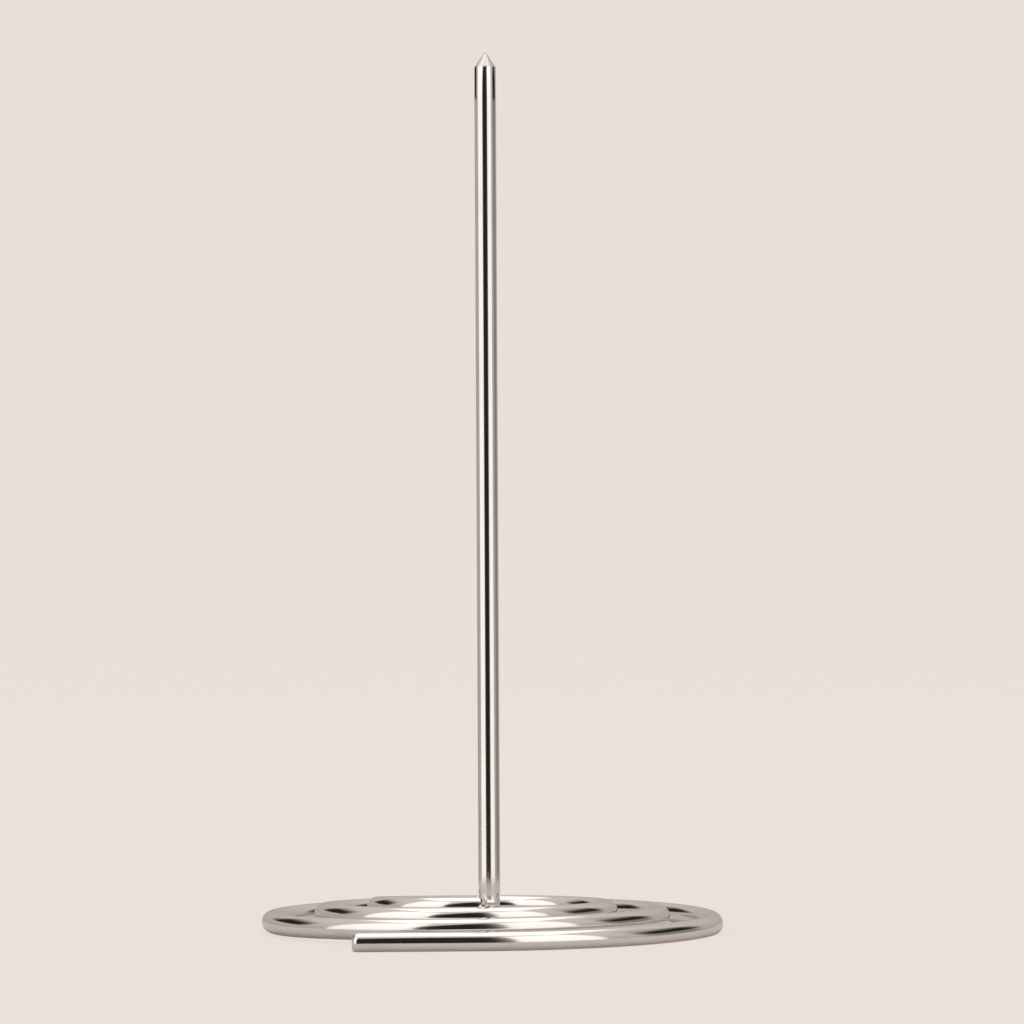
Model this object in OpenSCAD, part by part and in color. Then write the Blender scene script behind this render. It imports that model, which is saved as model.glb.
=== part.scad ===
// Bill spike: a straight pointed rod that stands on a wound wire base.
// Frame: +Z up, the surface it stands on is z = 0, -Y is the front,
// and the origin is the middle of the base's outline.

/* [Wire base] */
// Thickness of the base wire
wire_d = 4.0; // [3:0.1:5]
// Radius of the wire's middle line at the front of the outer turn
outer_radius = 46.2; // [40:0.1:60]
// Step from one turn to the next, middle to middle
turn_pitch = 9.9; // [8:0.1:10]
// Number of turns from the front of the outer turn to the inner end
turn_count = 3.02; // [2.8:0.01:3.1]
// Straight run of wire past the front, to the free outer end
tail_length = 22.5; // [10:0.5:30]
// Rounding of the wire's cut ends
end_rounding = 0.7; // [0.3:0.1:1.2]

/* [Rise of the turns] */
// How much higher the inner turns lie than the outer one
rise_height = 2.35; // [2:0.05:6]
// Turn at which the wire starts to climb
rise_start = 0.4; // [0.3:0.01:0.6]
// Turn at which the wire runs level again
rise_end = 2.0; // [1.7:0.01:2.3]
// How far the inner turns tip back, in mm of height for each mm of depth
inner_tip = 0.026; // [0:0.002:0.04]
// Turn at which the inner turns have their full tip
tip_end = 1.2; // [1:0.05:1.5]
// How much the wire's inner end climbs on its way to the spike
end_rise = 1.4; // [0.8:0.1:1.8]
// Turn at which the inner end starts to climb
end_rise_start = 2.5; // [2.4:0.01:2.6]
// Depth of the flat that the outer turn stands on
standing_flat = 0.5; // [0.3:0.05:0.7]

/* [Spike] */
// Thickness of the spike
spike_d = 4.0; // [3:0.1:5]
// Height of the point above the standing surface
spike_height = 163.6; // [120:0.1:200]
// Length of the ground point
point_length = 2.9; // [2:0.1:8]
// Radius of the blunted tip
tip_radius = 0.2; // [0.1:0.05:0.4]
// How far the point's flank bulges outward
point_bulge = 0.02; // [0:0.01:0.3]
// Height of the rounding at the foot
foot_rounding = 0.9; // [0.5:0.1:1.5]

/* [Weld at the foot] */
// Diameter of the weld nugget under the spike
nugget_d = 2.6; // [2:0.1:3]
// Thickness of the weld nugget
nugget_height = 0.4; // [0.3:0.05:0.8]
// Depth of the flat on the wire that the nugget sits on
landing_depth = 2.3; // [2.1:0.05:2.5]
// Room on the landing beyond the nugget's edge
landing_margin = 0.6; // [0.4:0.1:1]

/* [Hidden] */
$fn = 96;

wire_r = wire_d / 2;
spike_r = spike_d / 2;
nugget_r = nugget_d / 2;

// Counts of the wire's mesh
rings_per_turn = 48;
wire_sides = 20;
end_rings = 3;
rise_blend = 0.15;

// Height of the outer turn's middle line
outer_axis_z = wire_r - standing_flat;

// Climb of the wire: level, a straight ramp with rounded ends, level again, and up to the spike
ramp_slope = rise_height / (rise_end - rise_start);
end_level = 0.05;
function soft_ramp(u) =
    u <= -rise_blend ? 0 :
    u >= rise_blend ? u :
    pow(u + rise_blend, 2) / (4 * rise_blend);
function smooth_step(u) = u * u * (3 - 2 * u);
function share_between(t, low, high) = smooth_step(min(1, max(0, (t - low) / (high - low))));
function climb(t) =
    ramp_slope * (soft_ramp(t - rise_start) - soft_ramp(t - rise_end))
    + end_rise * share_between(t, end_rise_start, turn_count - end_level);

// Share of the tip that a turn has: none on the outer turn, all of it further in
function tip_share(t) = share_between(t, rise_start, tip_end);

// Middle line of the wire: t counts turns from the front, growing to the right and inward
function turn_radius(t) = outer_radius - turn_pitch * t;
function spiral_point(t) =
    let (
        to_right = turn_radius(t) * sin(360 * t),
        to_front = turn_radius(t) * cos(360 * t)
    )
    [to_right, -to_front, outer_axis_z + climb(t) + inner_tip * tip_share(t) * to_front];
function unit(v) = v / norm(v);
function flat_of(p) = [p[0], p[1]];
small_turn = 0.0005;
tail_direction = unit(spiral_point(0) - spiral_point(small_turn));

// The even rings stop short of the landing, which has its own edges: the foot of its wall and the wall's top
landing_wall = 0.8;
end_overhang = nugget_d / 2 + landing_margin;
turn_length = 2 * PI * turn_radius(turn_count);
wall_turn = turn_count - (end_overhang + landing_wall) / turn_length;
landing_turn = turn_count - end_overhang / turn_length;
turn_steps = ceil(wall_turn * rings_per_turn);
spiral_points = concat(
    [for (i = [0 : turn_steps]) spiral_point(wall_turn * i / turn_steps)],
    [spiral_point(landing_turn), spiral_point(turn_count)]
);

// The foot's weld and the wire's inner end both sit on the last point of the spiral
foot_point = spiral_point(turn_count);
landing_z = foot_point[2] + wire_r - landing_depth;
foot_z = landing_z + nugget_height;
end_direction = unit(foot_point - spiral_point(turn_count - small_turn));
landing_slack = 0.1;
inner_end = foot_point + end_direction * end_overhang;
outer_end = spiral_point(0) + tail_direction * tail_length;
tail_steps = 4;
tail_points = [for (i = [1 : tail_steps - 1]) outer_end + (spiral_point(0) - outer_end) * i / tail_steps];

// Outline of the base on the ground, which puts the origin in its middle
low_x = min([for (p = spiral_points) p[0]]) - wire_r;
high_x = max([for (p = spiral_points) p[0]]) + wire_r;
high_y = max([for (p = spiral_points) p[1]]) + wire_r;
low_y = min(outer_end[1], min([for (p = spiral_points) p[1]])) - wire_r;
centre_shift = [-(low_x + high_x) / 2, -(low_y + high_y) / 2, 0];
foot_xy = flat_of(foot_point + centre_shift);

// Rings of the wire: [middle point, share of the wire's radius], from the outer end to the inner one
function end_share(k) = 1 - end_rounding / wire_r * (1 - sin(90 * k / end_rings));
function end_inset(k) = end_rounding * (1 - cos(90 * k / end_rings));
wire_rings = concat(
    [for (k = [0 : end_rings]) [outer_end - tail_direction * end_inset(k), end_share(k)]],
    [for (p = tail_points) [p, 1]],
    [for (p = spiral_points) [p, 1]],
    [for (k = [end_rings : -1 : 0]) [inner_end - end_direction * end_inset(k), end_share(k)]]
);

module wire_tube() {
    last = len(wire_rings) - 1;
    function ring_direction(i) =
        unit(wire_rings[min(i + 1, last)][0] - wire_rings[max(i - 1, 0)][0]);
    function on_landing(p) = norm(flat_of(p - foot_point)) <= end_overhang + landing_slack;
    function highest(p) = on_landing(p) ? landing_z : p[2] + wire_d;
    function flattened(p, top_z) = [p[0], p[1], min(max(p[2], 0), top_z)];
    ring_points = [for (i = [0 : last])
        let (
            along = ring_direction(i),
            side = unit(cross(along, [0, 0, 1])),
            up = cross(side, along),
            radius = wire_r * wire_rings[i][1],
            top_z = highest(wire_rings[i][0])
        )
        for (k = [0 : wire_sides - 1])
            let (a = 360 * k / wire_sides)
            flattened(wire_rings[i][0] + radius * (cos(a) * side + sin(a) * up), top_z)];
    side_faces = [for (i = [0 : last - 1], k = [0 : wire_sides - 1])
        let (
            a = i * wire_sides + k,
            b = i * wire_sides + (k + 1) % wire_sides,
            c = a + wire_sides,
            d = b + wire_sides
        )
        each [[a, b, d], [a, d, c]]];
    first_cap = [for (k = [1 : wire_sides - 2]) [0, k + 1, k]];
    last_start = last * wire_sides;
    lowest = round(wire_sides * 3 / 4);
    function last_ring(k) = last_start + (lowest + k) % wire_sides;
    last_cap = [for (k = [1 : wire_sides - 2]) [last_ring(0), last_ring(k), last_ring(k + 1)]];
    polyhedron(ring_points, concat(first_cap, side_faces, last_cap), convexity = 10);
}

// Least gap between neighbouring turns, measured between points of the middle line
gap_step = 4;
half_turn_rings = floor(rings_per_turn / 2);
self_gap = min([for (i = [0 : gap_step : turn_steps], j = [i + half_turn_rings : 1 : turn_steps])
    norm(spiral_points[i] - spiral_points[j])]) - wire_d;
echo(least_gap_between_turns = self_gap);

module spiral_base() {
    color("silver")
    translate(centre_shift)
    wire_tube();
}

// Low barrel of weld metal between the wire's landing and the spike's foot
module weld_nugget() {
    color("darkgray")
    translate([foot_xy[0], foot_xy[1], landing_z])
    cylinder(r = nugget_r, h = nugget_height);
}

// Round rod with a rounded foot and a short ground point
module spike_rod() {
    shoulder_z = spike_height - point_length;
    arc_steps = 8;
    tip_steps = 4;
    foot_arc = [for (i = [0 : arc_steps])
        let (a = 90 * i / arc_steps)
        [nugget_r + (spike_r - nugget_r) * sin(a), foot_z + foot_rounding * (1 - cos(a))]];
    flank = [for (i = [0 : arc_steps])
        let (s = i / arc_steps)
        [
            spike_r + (tip_radius - spike_r) * s + point_bulge * sin(180 * s),
            shoulder_z + (point_length - tip_radius) * s
        ]];
    tip_arc = [for (i = [1 : tip_steps])
        let (a = 90 * i / tip_steps)
        [tip_radius * cos(a), spike_height - tip_radius + tip_radius * sin(a)]];
    color("gainsboro")
    translate([foot_xy[0], foot_xy[1], 0])
    rotate_extrude()
    polygon(concat([[0, foot_z]], foot_arc, flank, tip_arc));
}

spiral_base();
weld_nugget();
spike_rod();
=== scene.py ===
"""Looks of a desk bill spike: a bright plated wire base, a weld and a pointed spike on a pale sweep."""

import math

import bpy
from bpy.props import FloatProperty, FloatVectorProperty, IntProperty, PointerProperty
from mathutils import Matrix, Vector


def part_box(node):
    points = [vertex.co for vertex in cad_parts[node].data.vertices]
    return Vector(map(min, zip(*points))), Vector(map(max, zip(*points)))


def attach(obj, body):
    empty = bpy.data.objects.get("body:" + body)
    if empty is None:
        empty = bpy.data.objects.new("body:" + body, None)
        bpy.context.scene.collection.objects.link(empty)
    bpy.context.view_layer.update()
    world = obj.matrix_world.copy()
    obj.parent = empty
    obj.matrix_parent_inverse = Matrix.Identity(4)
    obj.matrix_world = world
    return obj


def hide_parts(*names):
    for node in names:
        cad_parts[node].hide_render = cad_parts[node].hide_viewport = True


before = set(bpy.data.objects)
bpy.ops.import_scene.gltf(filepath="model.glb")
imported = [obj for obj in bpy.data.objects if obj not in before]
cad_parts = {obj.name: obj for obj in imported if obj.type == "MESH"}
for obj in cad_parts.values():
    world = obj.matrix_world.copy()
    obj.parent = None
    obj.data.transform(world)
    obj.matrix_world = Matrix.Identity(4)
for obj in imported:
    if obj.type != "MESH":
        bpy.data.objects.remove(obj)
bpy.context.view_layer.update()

bl_info = {
    "name": "Bill Spike",
    "version": (1, 0, 0),
    "blender": (4, 5, 0),
    "location": "View3D > Sidebar > Bill Spike",
    "description": "Models a desk bill spike of bright plated wire around its fixed frame",
    "category": "Add Mesh",
}

BODY = "root"

# Places that come from the frame
SPIKE_LOW, SPIKE_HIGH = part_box("spike_rod")
WELD_LOW, WELD_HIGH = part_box("weld_nugget")
SPIKE_X = (SPIKE_LOW[0] + SPIKE_HIGH[0]) / 2
SPIKE_Y = (SPIKE_LOW[1] + SPIKE_HIGH[1]) / 2
SPIKE_RADIUS = (SPIKE_HIGH[0] - SPIKE_LOW[0]) / 2
WELD_RADIUS = (WELD_HIGH[0] - WELD_LOW[0]) / 2
LANDING_Z = WELD_LOW[2]
FOOT_Z = SPIKE_LOW[2]
TIP_Z = SPIKE_HIGH[2]

# Fineness of the meshes, and how far the tube's skin stays inside the wire's full size
RINGS_PER_TURN = 144
WIRE_BEVEL_STEPS = 16
WIRE_END_STEPS = 6
LANDING_STEPS = 6
ROD_SIDES = 96
ROD_ARC_STEPS = 8
TIP_STEPS = 5
WELD_STEPS = 12
SMOOTH_ANGLE = math.radians(38)
MESH_MARGIN = 0.00003

# Small fixed forms: turns of the wire that run level under the weld, the wall of the landing that the
# weld sits on, the share of the tip's radius that stays flat, and the weld's bulge
END_LEVEL = 0.05
LANDING_WALL = 0.0008
TIP_FLAT_SHARE = 0.08
WELD_BULGE = 0.05

# Marks in the metal: noise cells to the metre, and factors on them along each axis
DRAW_LINE_CELLS = 5200.0
DRAW_LINE_STRETCH = (1.0, 1.0, 0.012)
LONG_WAVE_CELLS = 900.0
LONG_WAVE_STRETCH = (1.0, 1.0, 0.05)
HANDLING_CELLS = 95.0
PIT_CELLS = 2600.0
GRINDING_CELLS = 9000.0
GRINDING_STRETCH = (0.02, 0.02, 1.0)
WELD_RIPPLE_CELLS = 1400.0
WELD_RIPPLE_STRETCH = (1.0, 1.0, 3.0)
WELD_MOTTLING_CELLS = 700.0

# Factors on the weld's colour where heat has toned it
WELD_HEAT_TONE = (0.92, 0.82, 0.68)

# Floor, backdrop and the mirrored table top
FLOOR_WIDTH = 16.0
FLOOR_FRONT = -8.0
FLOOR_BACK = 1.3
FLOOR_DROP = 0.00002
BACKDROP_CURVE = 0.5
BACKDROP_CURVE_STEPS = 16
BACKDROP_WALL = 1.5
TABLE_RADIUS = 0.125
TABLE_SIDES = 128
GROUND_GRAIN_CELLS = 260.0
GROUND_GREY_SHARE = 0.8

# What the metal shows of the surroundings: share of the table's own glow, the room's brightness from
# level to overhead, and the upward slant that counts as overhead
GLOW_IN_METAL = 0.03
ROOM_IN_METAL = (0.52, 0.85)
ROOM_OVERHEAD = 0.9

# Cards that only the metal shows: bearing from the front in degrees, and sizes in metres
CARDS = {
    "front_card": dict(
        bearing=-7, distance=1.2, width=1.44, foot=-0.3, tops=(0.75, 3.2), brightness=0.015),
    "front_low_card": dict(
        bearing=-7, distance=1.25, width=0.9, foot=-1.8, tops=(0.1, 0.1), brightness=0.03),
    "right_card": dict(
        bearing=107, distance=1.0, width=1.0, foot=0.25, tops=(0.82, 0.82), brightness=0.015),
    "left_card": dict(
        bearing=-128, distance=1.0, width=0.95, foot=0.25, tops=(0.8, 0.8), brightness=0.015),
    "right_low_card": dict(
        bearing=107, distance=1.05, width=0.95, foot=-1.0, tops=(1.6, 1.6), brightness=0.22),
    "left_low_card": dict(
        bearing=-128, distance=1.05, width=0.8, foot=-1.2, tops=(0.05, 0.05), brightness=0.05),
}
CARD_TINT = (1.0, 0.96, 0.92)
CARD_FIBRE_CELLS = 300.0
CARD_SIDE_FADE = 0.18
CARD_TOP_FADE_START = 0.5

# Lights
SIDE_BOXES = {
    "left_box": dict(bearing=-58, distance=0.8, height=0.62, size=(0.80, 1.52)),
    "right_box": dict(bearing=41, distance=0.8, height=0.62, size=(0.61, 1.52)),
}
TOP_BOX_PLACE = (0, 0.3, 1.35)
TOP_BOX_SIZE = (1.2, 1.3)
LAMP_COLOUR = (1.0, 0.97, 0.94)

# Camera: width of the sensor in millimetres, and the nearest and furthest seen in metres
SENSOR_WIDTH = 36
NEAREST_SEEN = 0.01
FURTHEST_SEEN = 20


class WireBaseSettings(bpy.types.PropertyGroup):
    """Sizes and colour of the wound wire base"""

    wire_diameter: FloatProperty(
        name="Wire", description="Thickness of the base wire",
        default=0.004, min=0.001, unit="LENGTH")
    outer_radius: FloatProperty(
        name="Outer radius", description="Radius of the wire's middle line at the front",
        default=0.0462, min=0.01, unit="LENGTH")
    pitch: FloatProperty(
        name="Pitch", description="Step from one turn to the next",
        default=0.0099, min=0.004, unit="LENGTH")
    turns: FloatProperty(
        name="Turns", description="Turns from the front of the outer turn to the inner end",
        default=3.02, min=1)
    tail: FloatProperty(
        name="Tail", description="Straight run of wire to the free outer end",
        default=0.0225, min=0, unit="LENGTH")
    rise: FloatProperty(
        name="Rise", description="How much higher the inner turns lie",
        default=0.00235, min=0, unit="LENGTH")
    rise_start: FloatProperty(
        name="Rise start", description="Turn at which the wire starts to climb",
        default=0.4)
    rise_end: FloatProperty(
        name="Rise end", description="Turn at which the wire runs level again",
        default=2.0)
    rise_blend: FloatProperty(
        name="Rise blend", description="Rounding of the ramp's ends in turns",
        default=0.15)
    inner_tip: FloatProperty(
        name="Inner tip", description="Height that the inner turns lose for each metre of depth",
        default=0.026)
    tip_end: FloatProperty(
        name="Tip end", description="Turn at which the tip is complete",
        default=1.2)
    end_rise: FloatProperty(
        name="End rise", description="How much the inner end climbs to the spike",
        default=0.0014, unit="LENGTH")
    end_rise_start: FloatProperty(
        name="End rise start", description="Turn at which the inner end starts to climb",
        default=2.5)
    standing_flat: FloatProperty(
        name="Standing flat", description="Depth of the flat under the outer turn",
        default=0.0005, unit="LENGTH")
    tail_rounding: FloatProperty(
        name="Tail rounding", description="Rounding of the free outer end",
        default=0.0011, unit="LENGTH")
    end_rounding: FloatProperty(
        name="End rounding", description="Rounding of the inner end",
        default=0.0007, unit="LENGTH")
    landing_reach: FloatProperty(
        name="Landing reach", description="Half length of the flat under the weld",
        default=0.0019, unit="LENGTH")
    colour: FloatVectorProperty(
        name="Plating", description="Colour of the plated wire",
        default=(0.855, 0.845, 0.83), subtype="COLOR", size=3, min=0, max=1)


class SpikeSettings(bpy.types.PropertyGroup):
    """Sizes and colours of the spike and of the weld at its foot"""

    point_length: FloatProperty(
        name="Point", description="Length of the ground point",
        default=0.0029, min=0.001, unit="LENGTH")
    point_bulge: FloatProperty(
        name="Bulge", description="How far the point's flank bulges",
        default=0.00002, unit="LENGTH")
    tip_radius: FloatProperty(
        name="Tip radius", description="Radius of the blunted tip",
        default=0.0002, unit="LENGTH")
    foot_rounding: FloatProperty(
        name="Foot rounding", description="Height of the rounding at the foot",
        default=0.0009, unit="LENGTH")
    shaft_rings: IntProperty(
        name="Shaft rings", description="Rings along the straight shaft",
        default=24, min=2)
    colour: FloatVectorProperty(
        name="Plating", description="Colour of the plated rod",
        default=(0.865, 0.855, 0.84), subtype="COLOR", size=3, min=0, max=1)
    weld_colour: FloatVectorProperty(
        name="Weld", description="Colour of the plated weld metal",
        default=(0.66, 0.63, 0.6), subtype="COLOR", size=3, min=0, max=1)


class StageSettings(bpy.types.PropertyGroup):
    """Sweep, lights and camera"""

    ground_colour: FloatVectorProperty(
        name="Ground", description="Colour of the pale sweep",
        default=(0.905, 0.815, 0.76), subtype="COLOR", size=3, min=0, max=1)
    ground_glow: FloatProperty(
        name="Ground glow", description="Share of the sweep's colour that is seen evenly lit",
        default=0.8, min=0, max=1, subtype="FACTOR")
    backdrop_colour: FloatVectorProperty(
        name="Backdrop", description="Colour of the pale surroundings",
        default=(0.83, 0.745, 0.69), subtype="COLOR", size=3, min=0, max=1)
    side_light: FloatProperty(
        name="Side light", description="Brightness of the two side lights",
        default=0.65)
    top_light: FloatProperty(
        name="Top light", description="Brightness of the light above",
        default=0.75)
    room_light: FloatProperty(
        name="Room light", description="Brightness of the even light around",
        default=0.7)
    camera_distance: FloatProperty(
        name="Camera distance", description="From the middle of the turns to the camera",
        default=1.034, unit="LENGTH")
    camera_height: FloatProperty(
        name="Camera height", description="Height of the level camera",
        default=0.0786, unit="LENGTH")
    camera_side: FloatProperty(
        name="Camera side", description="How far right of the turns' middle the camera stands",
        default=0.0066, unit="LENGTH")
    camera_roll: FloatProperty(
        name="Camera roll", description="Slight turn of the camera about its view",
        default=math.radians(0.3), subtype="ANGLE")
    view_width: FloatProperty(
        name="View width", description="Width of the picture at the middle of the turns",
        default=0.1921, unit="LENGTH")


class WirePath:
    """Middle line of the wound wire, as the frame's solid follows it, with turns counted inward."""

    def __init__(self, sizes):
        self.sizes = sizes
        self.radius = sizes.wire_diameter / 2
        end = self.offset(sizes.turns)
        self.centre = Vector((SPIKE_X - end.x, SPIKE_Y - end.y, 0))

    def turn_radius(self, turn):
        return self.sizes.outer_radius - self.sizes.pitch * turn

    def length_to(self, turn):
        """Length of wire from the front of the outer turn."""
        return math.tau * turn * (self.sizes.outer_radius - self.sizes.pitch * turn / 2)

    def soft_ramp(self, turn):
        """Level before turn 0 and a straight climb after it, with the corner rounded."""
        blend = self.sizes.rise_blend
        if turn <= -blend:
            return 0.0
        if turn >= blend:
            return turn
        return (turn + blend) ** 2 / (4 * blend)

    def share_between(self, turn, low, high):
        """Share that grows smoothly from 0 at one turn to 1 at another."""
        share = min(1.0, max(0.0, (turn - low) / (high - low)))
        return share * share * (3 - 2 * share)

    def climb(self, turn):
        """Height above the outer turn: level, a ramp, level again, and up to the spike."""
        sizes = self.sizes
        slope = sizes.rise / (sizes.rise_end - sizes.rise_start)
        ramp = slope * (self.soft_ramp(turn - sizes.rise_start) - self.soft_ramp(turn - sizes.rise_end))
        end_share = self.share_between(turn, sizes.end_rise_start, sizes.turns - END_LEVEL)
        return ramp + sizes.end_rise * end_share

    def tip_share(self, turn):
        """Share of the tip that a turn has: none on the outer turn, all of it further in."""
        return self.share_between(turn, self.sizes.rise_start, self.sizes.tip_end)

    def offset(self, turn):
        """Point of the middle line, measured from the middle of the turns."""
        radius = self.turn_radius(turn)
        to_right = radius * math.sin(math.tau * turn)
        to_front = radius * math.cos(math.tau * turn)
        height = self.radius - self.sizes.standing_flat + self.climb(turn)
        tip = self.sizes.inner_tip * self.tip_share(turn) * to_front
        return Vector((to_right, -to_front, height + tip))

    def point(self, turn):
        return self.centre + self.offset(turn)

    def direction(self, turn):
        step = 0.0005
        return (self.point(turn + step) - self.point(turn - step)).normalized()

    def outer_end(self):
        return self.point(0) - self.direction(0) * self.sizes.tail

    def inner_end(self):
        return self.point(self.sizes.turns) + self.direction(self.sizes.turns) * self.sizes.landing_reach

    def points(self):
        """Points from the free outer end to the inner end under the spike, short of their roundings."""
        sizes = self.sizes
        turn_length = math.tau * self.turn_radius(sizes.turns)
        wall = sizes.turns - (sizes.landing_reach + LANDING_WALL) / turn_length
        count = math.ceil(wall * RINGS_PER_TURN)
        route = [self.point(wall * i / count) for i in range(count + 1)]
        for i in range(1, LANDING_STEPS + 1):
            left = (sizes.landing_reach + LANDING_WALL) * (1 - i / LANDING_STEPS)
            route.append(self.point(sizes.turns - left / turn_length))
        first = self.outer_end() + self.direction(0) * sizes.tail_rounding
        last = self.inner_end() - self.direction(sizes.turns) * sizes.end_rounding
        return [first] + route + [last]

    def nearest_turn(self, place):
        """Turn whose middle line runs past a place, worked out from its angle and radius."""
        across = place - self.centre
        angle = math.atan2(across.x, -across.y) / math.tau
        sizes = self.sizes
        whole = round((sizes.outer_radius - math.hypot(across.x, across.y)) / sizes.pitch - angle)
        return min(sizes.turns, max(0.0, angle + whole))


class Value:
    """A shader socket whose operators add Math nodes."""

    def __init__(self, shader, socket):
        self.shader = shader
        self.socket = socket

    def maths(self, operation, first, second):
        node = self.shader.add("ShaderNodeMath", {"operation": operation}, {0: first, 1: second})
        return Value(self.shader, node.outputs[0])

    def __add__(self, other):
        return self.maths("ADD", self, other)

    def __radd__(self, other):
        return self.maths("ADD", other, self)

    def __sub__(self, other):
        return self.maths("SUBTRACT", self, other)

    def __rsub__(self, other):
        return self.maths("SUBTRACT", other, self)

    def __mul__(self, other):
        return self.maths("MULTIPLY", self, other)

    def __rmul__(self, other):
        return self.maths("MULTIPLY", other, self)

    def __gt__(self, other):
        return self.maths("GREATER_THAN", self, other)


class Shader:
    """A node tree that is written as expressions."""

    def __init__(self, tree):
        self.tree = tree
        tree.nodes.clear()

    def add(self, kind, settings=None, sockets=None):
        """Adds a node, sets its own settings first and then fills its sockets."""
        node = self.tree.nodes.new(kind)
        for name, setting in (settings or {}).items():
            setattr(node, name, setting)
        for name, content in (sockets or {}).items():
            self.fill(node.inputs[name], content)
        return node

    def fill(self, socket, content):
        """Links a value to a socket, or sets the socket to a plain number or colour."""
        if isinstance(content, Value):
            self.tree.links.new(content.socket, socket)
        else:
            socket.default_value = content

    def value(self, kind, output, settings=None, sockets=None):
        return Value(self, self.add(kind, settings, sockets).outputs[output])

    def object_place(self):
        return self.value("ShaderNodeTexCoord", "Object")

    def stretched(self, place, scale):
        return self.value("ShaderNodeMapping", "Vector", None, {"Vector": place, "Scale": scale})

    def noise(self, place, cells, detail=3.0, roughness=0.5):
        sockets = {"Vector": place, "Scale": cells, "Detail": detail, "Roughness": roughness}
        return self.value("ShaderNodeTexNoise", 0, None, sockets)

    def spread(self, value, low, high, to_low=0.0, to_high=1.0):
        sockets = {"Value": value, "From Min": low, "From Max": high, "To Min": to_low, "To Max": to_high}
        return self.value("ShaderNodeMapRange", 0, {"clamp": True}, sockets)

    def blend(self, share, first, second):
        """Mixes two colours: the numbered sockets are the Mix node's share and colours."""
        sockets = {0: share, 6: first, 7: second}
        return self.value("ShaderNodeMix", 2, {"data_type": "RGBA"}, sockets)

    def bump(self, height, strength, distance):
        sockets = {"Height": height, "Strength": strength, "Distance": distance}
        return self.value("ShaderNodeBump", "Normal", None, sockets)

    def mixed(self, share, first, second):
        """Mixes two shaders."""
        node = self.add("ShaderNodeMixShader", None, {"Fac": share})
        self.tree.links.new(first.outputs[0], node.inputs[1])
        self.tree.links.new(second.outputs[0], node.inputs[2])
        return node

    def surface(self, shader_node, output_kind="ShaderNodeOutputMaterial"):
        output = self.add(output_kind)
        self.tree.links.new(shader_node.outputs[0], output.inputs["Surface"])


def new_material(name):
    material = bpy.data.materials.new(name)
    material.use_nodes = True
    return material, Shader(material.node_tree)


def toned(colour, factor):
    """A colour made lighter or darker, with its alpha."""
    return (*(min(1.0, part * factor) for part in colour), 1.0)


def wire_line_place(shader):
    """Place in the wire: across, up and along its turns."""
    return shader.value("ShaderNodeAttribute", "Vector", {"attribute_name": "wire_line"})


def rod_place(shader):
    """Place in the upright rod, whose length is already the third axis."""
    return shader.object_place()


def plated_metal(name, colour, place_of, ground_above=None):
    """Bright plating over drawn metal: draw lines along the piece, fine pits and faint handling marks."""
    material, shader = new_material(name)
    along = place_of(shader)
    place = shader.object_place()
    draw_lines = shader.noise(
        shader.stretched(along, DRAW_LINE_STRETCH), DRAW_LINE_CELLS, detail=2.0, roughness=0.6)
    long_waves = shader.noise(shader.stretched(along, LONG_WAVE_STRETCH), LONG_WAVE_CELLS, detail=2.0)
    handling = shader.noise(place, HANDLING_CELLS, detail=4.0, roughness=0.6)
    pits = shader.spread(shader.noise(place, PIT_CELLS, detail=2.0), low=0.68, high=0.76)
    smudge = shader.spread(handling, low=0.5, high=0.72)
    tone = shader.blend(smudge * 0.7 + pits * 0.3, toned(colour, 1.02), toned(colour, 0.93))
    roughness = 0.095 + 0.04 * smudge + 0.03 * draw_lines + 0.08 * pits
    height = draw_lines * 0.35 + long_waves * 0.65 - pits * 0.4
    if ground_above is not None:
        height_axis = shader.value("ShaderNodeSeparateXYZ", "Z", None, {0: place})
        ground = height_axis > ground_above
        grinding = shader.noise(
            shader.stretched(place, GRINDING_STRETCH), GRINDING_CELLS, detail=3.0, roughness=0.7)
        roughness = roughness + ground * (0.16 + 0.14 * grinding)
        height = height + ground * (grinding * 1.6)
    sockets = {
        "Base Color": tone,
        "Metallic": 1.0,
        "Roughness": roughness,
        "Normal": shader.bump(height, strength=0.15, distance=0.000012),
    }
    shader.surface(shader.add("ShaderNodeBsdfPrincipled", None, sockets))
    return material


def weld_metal(colour):
    """Plated weld metal: ripples round the foot and a duller, slightly heat-toned skin."""
    material, shader = new_material("weld_metal")
    place = shader.object_place()
    ripples = shader.noise(
        shader.stretched(place, WELD_RIPPLE_STRETCH), WELD_RIPPLE_CELLS, detail=3.0, roughness=0.6)
    mottling = shader.noise(place, WELD_MOTTLING_CELLS, detail=4.0, roughness=0.65)
    heat_share = shader.spread(mottling, low=0.42, high=0.7, to_high=0.6)
    heated = (*(part * tone for part, tone in zip(colour, WELD_HEAT_TONE)), 1.0)
    sockets = {
        "Base Color": shader.blend(heat_share, toned(colour, 1.0), heated),
        "Metallic": 1.0,
        "Roughness": 0.16 + 0.22 * mottling,
        "Normal": shader.bump(ripples, strength=0.3, distance=0.00002),
    }
    shader.surface(shader.add("ShaderNodeBsdfPrincipled", None, sockets))
    return material


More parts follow.
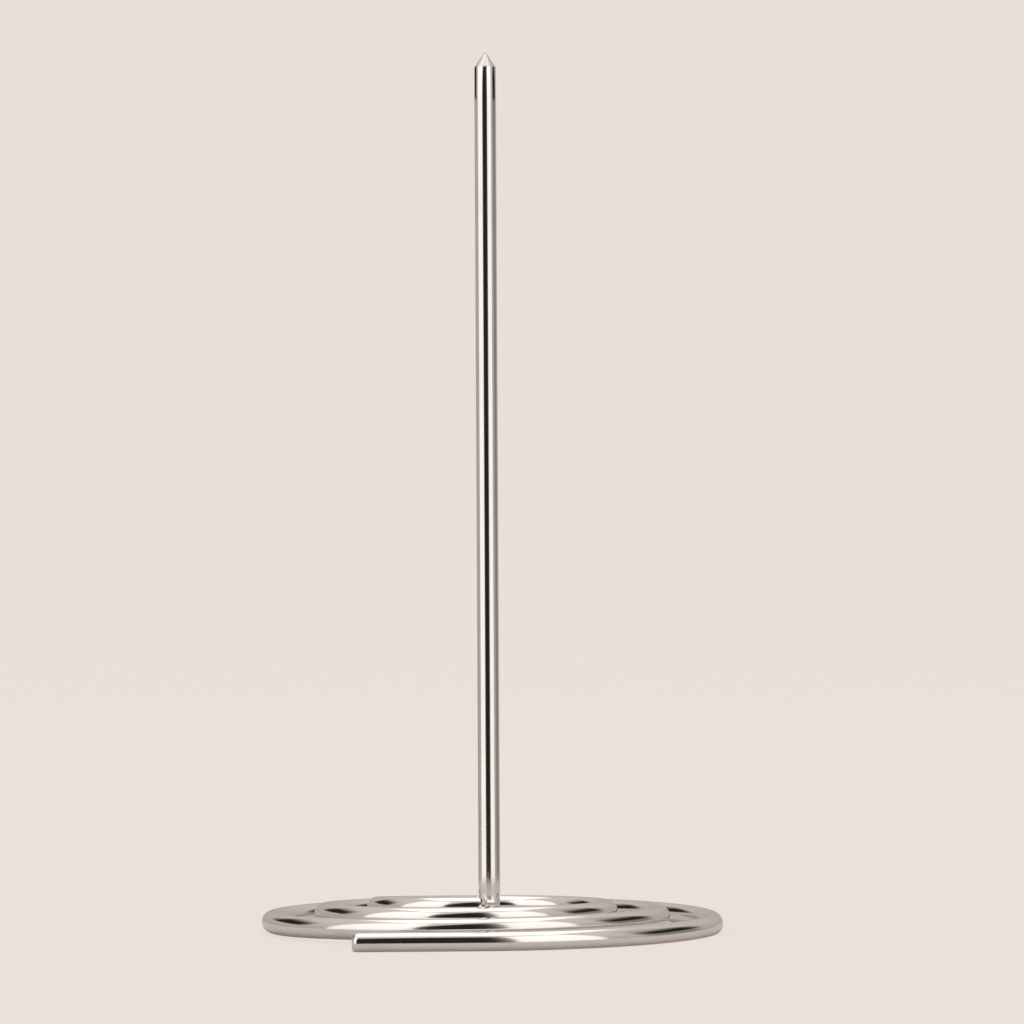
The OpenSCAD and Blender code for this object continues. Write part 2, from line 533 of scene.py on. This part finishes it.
def pale_ground(colour, glow):
    """Matt sweep whose colour is seen mostly evenly, and which keeps the part's shadow."""
    material, shader = new_material("pale_ground")
    grain = shader.noise(shader.object_place(), GROUND_GRAIN_CELLS, detail=4.0)
    grey = colour[1]
    lit = tuple(part + (grey - part) * GROUND_GREY_SHARE for part in colour)
    matt = shader.add("ShaderNodeBsdfDiffuse", None, {
        "Color": shader.blend(grain, toned(lit, 0.985), toned(lit, 1.015)),
        "Roughness": 0.6,
    })
    even = shader.add("ShaderNodeEmission", None, {"Color": (*colour, 1.0), "Strength": 1.0})
    light_path = shader.add("ShaderNodeLightPath")
    seen = Value(shader, light_path.outputs["Is Camera Ray"]) * glow
    mirrored = Value(shader, light_path.outputs["Is Glossy Ray"]) * GLOW_IN_METAL
    shader.surface(shader.mixed(seen + mirrored, matt, even))
    return material


def card_finish(name, brightness):
    """An evenly dim card that thins out towards its sides and its top."""
    material, shader = new_material(name)
    layout = shader.add("ShaderNodeSeparateXYZ", None, {0: shader.value("ShaderNodeTexCoord", "UV")})
    across = Value(shader, layout.outputs["X"])
    up = Value(shader, layout.outputs["Y"])
    inside = shader.spread(across * (1.0 - across), low=0.0, high=CARD_SIDE_FADE)
    below = shader.spread(up, low=CARD_TOP_FADE_START, high=1.0, to_low=1.0, to_high=0.0)
    fibres = shader.noise(shader.object_place(), CARD_FIBRE_CELLS)
    tint = tuple(brightness * part for part in CARD_TINT)
    shade = shader.blend(fibres, toned(tint, 0.9), toned(tint, 1.1))
    clear = shader.add("ShaderNodeBsdfTransparent")
    dim = shader.add("ShaderNodeEmission", None, {"Color": shade, "Strength": 1.0})
    shader.surface(shader.mixed(inside * below, clear, dim))
    return material


def deselect_all():
    if bpy.context.object and bpy.context.object.mode != "OBJECT":
        bpy.ops.object.mode_set(mode="OBJECT")
    bpy.ops.object.select_all(action="DESELECT")


def select_vertices(piece, wanted):
    """In edit mode, selects the vertices whose place passes a test, and what lies between them."""
    bpy.ops.mesh.select_all(action="DESELECT")
    bpy.ops.mesh.select_mode(type="VERT")
    bpy.ops.object.mode_set(mode="OBJECT")
    for vertex in piece.data.vertices:
        vertex.select = wanted(vertex.co)
    bpy.ops.object.mode_set(mode="EDIT")


def finish_piece(piece, name, material, node):
    """Names a modelled piece, smooths it and sets it in its node's place."""
    bpy.ops.object.mode_set(mode="OBJECT")
    bpy.ops.object.transform_apply(location=True, rotation=True, scale=True)
    bpy.ops.object.shade_smooth_by_angle(angle=SMOOTH_ANGLE)
    piece.name = name
    piece.data.name = name
    piece.data.materials.clear()
    piece.data.materials.append(material)
    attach(piece, BODY)
    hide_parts(node)


def mark_wire_line(piece, path):
    """Stores each vertex's place in the wire: across, up and along, so that a finish follows the turns."""
    lines = piece.data.attributes.new("wire_line", "FLOAT_VECTOR", "POINT")
    front = path.point(0)
    tail_way = path.direction(0)
    for index, vertex in enumerate(piece.data.vertices):
        past_front = (front - vertex.co).dot(tail_way)
        if past_front > 0 and vertex.co.y < front.y + path.radius * 2:
            middle = front - tail_way * past_front
            way = tail_way
            along = -past_front
        else:
            turn = path.nearest_turn(vertex.co)
            middle = path.point(turn)
            way = path.direction(turn)
            along = path.length_to(turn)
        side = way.cross(Vector((0, 0, 1))).normalized()
        away = vertex.co - middle
        lines.data[index].vector = (away.dot(side), away.z, along)


def round_wire_end(piece, end, outward, rounding, path):
    """Draws one cut end of the wire out into its rounding, step by step."""
    middle = end - outward * rounding
    depth_slack = path.radius * 0.01
    face_reach = path.radius * 1.1
    select_vertices(piece, lambda place: abs((place - middle).dot(outward)) < depth_slack
                    and (place - middle).length < face_reach)
    bpy.ops.mesh.select_mode(type="FACE")
    reached = 0.0
    full_size = path.radius - MESH_MARGIN
    size = full_size
    for i in range(1, WIRE_END_STEPS + 1):
        angle = math.radians(90 * i / WIRE_END_STEPS)
        move = outward * (rounding * math.sin(angle) - reached)
        reached = rounding * math.sin(angle)
        next_size = full_size - rounding * (1 - math.cos(angle))
        share = next_size / size
        size = next_size
        bpy.ops.mesh.extrude_region_move(TRANSFORM_OT_translate={"value": move})
        bpy.ops.transform.resize(value=(share, share, share), center_override=middle + outward * reached)


def lathe(context, profile, sides):
    """Draws a round piece up from its lowest ring: extrudes and sizes the end face ring by ring."""
    deselect_all()
    radius, height = profile[0]
    bpy.ops.mesh.primitive_circle_add(
        vertices=sides, radius=radius, fill_type="NGON", location=(SPIKE_X, SPIKE_Y, height))
    piece = context.object
    bpy.ops.object.transform_apply(location=True)
    bpy.ops.object.mode_set(mode="EDIT")
    bpy.ops.mesh.select_mode(type="FACE")
    bpy.ops.mesh.select_all(action="SELECT")
    for next_radius, next_height in profile[1:]:
        bpy.ops.mesh.extrude_region_move(TRANSFORM_OT_translate={"value": (0, 0, next_height - height)})
        share = next_radius / radius
        bpy.ops.transform.resize(value=(share, share, 1), center_override=(SPIKE_X, SPIKE_Y, next_height))
        radius, height = next_radius, next_height
    bpy.ops.mesh.select_all(action="SELECT")
    bpy.ops.mesh.normals_make_consistent(inside=False)
    return piece


class BILLSPIKE_OT_wire_base(bpy.types.Operator):
    """Winds the wire base as one unbroken tube, rounds its cut ends and presses its standing flat"""

    bl_idname = "bill_spike.wire_base"
    bl_label = "Wire Base"

    def execute(self, context):
        sizes = context.scene.bill_spike_wire
        path = WirePath(sizes)
        piece = self.wind(context, path)
        round_wire_end(piece, path.outer_end(), -path.direction(0), sizes.tail_rounding, path)
        round_wire_end(piece, path.inner_end(), path.direction(sizes.turns), sizes.end_rounding, path)
        self.press_flats(piece, path)
        bpy.ops.object.mode_set(mode="OBJECT")
        mark_wire_line(piece, path)
        material = plated_metal("plated_wire", sizes.colour, wire_line_place)
        finish_piece(piece, "wire_base", material, "spiral_base")
        return {"FINISHED"}

    def wind(self, context, path):
        """Lays a curve along the wire's middle line, makes it a closed tube and leaves it in edit mode."""
        deselect_all()
        bpy.ops.curve.primitive_bezier_curve_add()
        piece = context.object
        curve = piece.data
        curve.splines.clear()
        route = path.points()
        spline = curve.splines.new("POLY")
        spline.points.add(len(route) - 1)
        for knot, place in zip(spline.points, route):
            knot.co = (*place, 1.0)
        curve.twist_mode = "Z_UP"
        curve.bevel_depth = path.radius - MESH_MARGIN
        curve.bevel_resolution = WIRE_BEVEL_STEPS
        curve.use_fill_caps = True
        piece.location = (0, 0, 0)
        bpy.ops.object.convert(target="MESH")
        bpy.ops.object.mode_set(mode="EDIT")
        bpy.ops.mesh.select_all(action="SELECT")
        bpy.ops.mesh.remove_doubles(threshold=1e-7)
        bpy.ops.mesh.normals_make_consistent(inside=False)
        return piece

    def press_flats(self, piece, path):
        """Presses the flat that the wire stands on, and the flat that the weld sits on."""
        select_vertices(piece, lambda place: place.z < 0)
        bpy.ops.transform.resize(value=(1, 1, 0), center_override=(0, 0, 0))
        foot = path.point(path.sizes.turns)
        end_way = path.direction(path.sizes.turns)
        reach = path.sizes.landing_reach
        select_vertices(piece, lambda place: (place.xy - foot.xy).length < reach + path.radius
                        and (place - foot).dot(end_way) > -reach
                        and place.z > LANDING_Z)
        bpy.ops.transform.resize(value=(1, 1, 0), center_override=(SPIKE_X, SPIKE_Y, LANDING_Z))


class BILLSPIKE_OT_weld(bpy.types.Operator):
    """Draws the low barrel of weld metal between the wire's end and the spike's foot"""

    bl_idname = "bill_spike.weld"
    bl_label = "Weld"

    def execute(self, context):
        sizes = context.scene.bill_spike_rod
        rings = []
        for i in range(WELD_STEPS + 1):
            share = i / WELD_STEPS
            radius = WELD_RADIUS * (1 + WELD_BULGE * math.sin(math.pi * share))
            rings.append((radius, LANDING_Z + (FOOT_Z - LANDING_Z) * share))
        piece = lathe(context, rings, ROD_SIDES)
        finish_piece(piece, "foot_weld", weld_metal(sizes.weld_colour), "weld_nugget")
        return {"FINISHED"}


class BILLSPIKE_OT_spike(bpy.types.Operator):
    """Draws the spike up from its rounded foot to its ground point"""

    bl_idname = "bill_spike.spike"
    bl_label = "Spike"

    def execute(self, context):
        sizes = context.scene.bill_spike_rod
        shoulder = TIP_Z - sizes.point_length
        rings = self.foot_rings(sizes)
        rings += self.shaft_rings(sizes, shoulder)
        rings += self.point_rings(sizes, shoulder)
        piece = lathe(context, rings, ROD_SIDES)
        material = plated_metal("plated_rod", sizes.colour, rod_place, shoulder)
        finish_piece(piece, "spike", material, "spike_rod")
        return {"FINISHED"}

    def foot_rings(self, sizes):
        """Rings of the rounded foot as (radius, height), from the weld up."""
        rings = []
        for i in range(ROD_ARC_STEPS + 1):
            angle = math.radians(90 * i / ROD_ARC_STEPS)
            radius = WELD_RADIUS + (SPIKE_RADIUS - WELD_RADIUS) * math.sin(angle)
            rings.append((radius, FOOT_Z + sizes.foot_rounding * (1 - math.cos(angle))))
        return rings

    def shaft_rings(self, sizes, shoulder):
        """Rings of the straight shaft between the foot and the shoulder of the point."""
        low = FOOT_Z + sizes.foot_rounding
        step = (shoulder - low) / sizes.shaft_rings
        return [(SPIKE_RADIUS, low + step * i) for i in range(1, sizes.shaft_rings)]

    def point_rings(self, sizes, shoulder):
        """Rings of the ground point's flank and of its blunted tip."""
        rings = []
        flank_length = sizes.point_length - sizes.tip_radius
        for i in range(ROD_ARC_STEPS + 1):
            share = i / ROD_ARC_STEPS
            bulge = sizes.point_bulge * math.sin(math.pi * share)
            radius = SPIKE_RADIUS + (sizes.tip_radius - SPIKE_RADIUS) * share + bulge
            rings.append((radius, shoulder + flank_length * share))
        tip_middle = TIP_Z - sizes.tip_radius
        for i in range(1, TIP_STEPS):
            angle = math.radians(90 * i / TIP_STEPS)
            radius = sizes.tip_radius * math.cos(angle)
            rings.append((radius, tip_middle + sizes.tip_radius * math.sin(angle)))
        rings.append((sizes.tip_radius * TIP_FLAT_SHARE, TIP_Z))
        return rings


class BILLSPIKE_OT_stage(bpy.types.Operator):
    """Sets the pale sweep, the soft lights and the camera"""

    bl_idname = "bill_spike.stage"
    bl_label = "Stage"

    def execute(self, context):
        stage = context.scene.bill_spike_stage
        context.scene.view_settings.view_transform = "Standard"
        ground = pale_ground(stage.ground_colour, stage.ground_glow)
        self.sweep(context, ground)
        self.table(context, ground)
        for name, layout in CARDS.items():
            self.card(context, name, **layout)
        self.lights(context, stage)
        self.room(context, stage)
        self.camera(context, stage)
        return {"FINISHED"}

    def sweep(self, context, ground):
        """A wide floor whose back edge curves up into a wall. The metal doesn't show it."""
        deselect_all()
        bpy.ops.mesh.primitive_plane_add(size=1)
        sweep = context.object
        sweep.name = "pale_sweep"
        sweep.scale = (FLOOR_WIDTH, FLOOR_BACK - FLOOR_FRONT, 1)
        sweep.location = (0, (FLOOR_FRONT + FLOOR_BACK) / 2, -FLOOR_DROP)
        bpy.ops.object.transform_apply(location=True, scale=True)
        bpy.ops.object.mode_set(mode="EDIT")
        select_vertices(sweep, lambda place: place.y > 0)
        reached = (0.0, 0.0)
        for i in range(1, BACKDROP_CURVE_STEPS + 1):
            angle = math.radians(90 * i / BACKDROP_CURVE_STEPS)
            here = (BACKDROP_CURVE * math.sin(angle), BACKDROP_CURVE * (1 - math.cos(angle)))
            move = (0, here[0] - reached[0], here[1] - reached[1])
            bpy.ops.mesh.extrude_region_move(TRANSFORM_OT_translate={"value": move})
            reached = here
        bpy.ops.mesh.extrude_region_move(TRANSFORM_OT_translate={"value": (0, 0, BACKDROP_WALL)})
        bpy.ops.object.mode_set(mode="OBJECT")
        bpy.ops.object.shade_smooth()
        sweep.data.materials.append(ground)
        sweep.visible_glossy = False

    def table(self, context, ground):
        """A round table top under the part, which only the metal shows."""
        deselect_all()
        bpy.ops.mesh.primitive_circle_add(vertices=TABLE_SIDES, radius=TABLE_RADIUS, fill_type="NGON")
        table = context.object
        table.name = "pale_table"
        table.data.materials.append(ground)
        self.show_in_metal_only(table)

    def card(self, context, name, bearing, distance, width, foot, tops, brightness):
        """One dim upright card that faces the part, with its own height at each side and soft edges."""
        angle = math.radians(bearing)
        deselect_all()
        bpy.ops.mesh.primitive_plane_add(size=1)
        card = context.object
        card.name = name
        bpy.ops.object.mode_set(mode="EDIT")
        # The lower edge goes to the origin, from which each side gets its size
        bpy.ops.transform.translate(value=(0, 0.5, 0))
        for side, top in zip((-1, 1), tops):
            select_vertices(card, lambda corner: corner.x * side > 0)
            bpy.ops.transform.resize(value=(width, top - foot, 1), center_override=(0, 0, 0))
        bpy.ops.object.mode_set(mode="OBJECT")
        card.rotation_euler = (math.pi / 2, 0, angle)
        card.location = (distance * math.sin(angle), -distance * math.cos(angle), foot)
        bpy.ops.object.transform_apply(location=True, rotation=True, scale=True)
        card.data.materials.append(card_finish(name, brightness))
        self.show_in_metal_only(card)

    def show_in_metal_only(self, prop):
        """Marks a stage piece that neither the eye sees nor the light meets."""
        prop.visible_camera = False
        prop.visible_diffuse = False
        prop.visible_shadow = False

    def lights(self, context, stage):
        """Two tall soft boxes beside the camera, which only the metal shows, and one above."""
        for name, layout in SIDE_BOXES.items():
            self.side_box(context, name, brightness=stage.side_light, **layout)
        bpy.ops.object.light_add(type="AREA", location=TOP_BOX_PLACE)
        self.shape_light(context.object, "top_box", TOP_BOX_SIZE, stage.top_light)

    def side_box(self, context, name, bearing, distance, height, size, brightness):
        """One tall box that faces the part, and that only the metal shows."""
        angle = math.radians(bearing)
        place = (distance * math.sin(angle), -distance * math.cos(angle), height)
        bpy.ops.object.light_add(type="AREA", location=place, rotation=(math.pi / 2, 0, angle))
        self.shape_light(context.object, name, size, brightness)
        context.object.visible_diffuse = False

    def shape_light(self, lamp, name, size, brightness):
        """Makes a lamp a rectangle of a given brightness, whatever its size."""
        width, length = size
        lamp.name = name
        lamp.data.shape = "RECTANGLE"
        lamp.data.size = width
        lamp.data.size_y = length
        lamp.data.color = LAMP_COLOUR
        lamp.data.energy = brightness * math.pi * width * length
        lamp.visible_camera = False

    def room(self, context, stage):
        """Pale surroundings, seen by the eye and in the metal, which light the part softly."""
        world = bpy.data.worlds.new("pale_room")
        context.scene.world = world
        world.use_nodes = True
        shader = Shader(world.node_tree)
        light_path = shader.add("ShaderNodeLightPath")
        seen = Value(shader, light_path.outputs["Is Camera Ray"]) * (1.0 - stage.room_light)
        way = shader.value("ShaderNodeTexCoord", "Generated")
        upward = shader.value("ShaderNodeSeparateXYZ", "Z", None, {0: way})
        low, high = ROOM_IN_METAL
        by_height = shader.spread(upward, 0.0, ROOM_OVERHEAD, low, high)
        mirrored = Value(shader, light_path.outputs["Is Glossy Ray"]) * (by_height - stage.room_light)
        glow = shader.add("ShaderNodeBackground", None, {
            "Color": (*stage.backdrop_colour, 1.0),
            "Strength": stage.room_light + seen + mirrored,
        })
        shader.surface(glow, "ShaderNodeOutputWorld")

    def camera(self, context, stage):
        """A level camera in front of the turns, whose lens gives the picture its width at their middle."""
        middle = WirePath(context.scene.bill_spike_wire).centre
        place = (middle.x + stage.camera_side, middle.y - stage.camera_distance, stage.camera_height)
        bpy.ops.object.camera_add(location=place, rotation=(math.pi / 2, stage.camera_roll, 0))
        camera = context.object
        camera.name = "photo_camera"
        camera.data.sensor_width = SENSOR_WIDTH
        camera.data.lens = SENSOR_WIDTH * stage.camera_distance / stage.view_width
        camera.data.clip_start = NEAREST_SEEN
        camera.data.clip_end = FURTHEST_SEEN
        context.scene.camera = camera


class BILLSPIKE_PT_panel(bpy.types.Panel):
    """Lists the pieces of the bill spike and their sizes"""

    bl_idname = "BILLSPIKE_PT_panel"
    bl_label = "Bill Spike"
    bl_space_type = "VIEW_3D"
    bl_region_type = "UI"
    bl_category = "Bill Spike"

    def draw(self, context):
        layout = self.layout
        for operators, settings in PANEL_GROUPS:
            for operator in operators:
                layout.operator(operator)
            group = getattr(context.scene, settings)
            for name in group.bl_rna.properties.keys():
                if name not in ("rna_type", "name"):
                    layout.prop(group, name)


PANEL_GROUPS = (
    (("bill_spike.wire_base",), "bill_spike_wire"),
    (("bill_spike.weld", "bill_spike.spike"), "bill_spike_rod"),
    (("bill_spike.stage",), "bill_spike_stage"),
)
SETTINGS = {
    "bill_spike_wire": WireBaseSettings,
    "bill_spike_rod": SpikeSettings,
    "bill_spike_stage": StageSettings,
}
CLASSES = (
    WireBaseSettings,
    SpikeSettings,
    StageSettings,
    BILLSPIKE_OT_wire_base,
    BILLSPIKE_OT_weld,
    BILLSPIKE_OT_spike,
    BILLSPIKE_OT_stage,
    BILLSPIKE_PT_panel,
)


def register():
    for cls in CLASSES:
        bpy.utils.register_class(cls)
    for name, group in SETTINGS.items():
        setattr(bpy.types.Scene, name, PointerProperty(type=group))


def unregister():
    for name in SETTINGS:
        delattr(bpy.types.Scene, name)
    for cls in reversed(CLASSES):
        bpy.utils.unregister_class(cls)


def main():
    register()
    bpy.ops.bill_spike.wire_base()
    bpy.ops.bill_spike.weld()
    bpy.ops.bill_spike.spike()
    bpy.ops.bill_spike.stage()


if __name__ == "__main__":
    main()
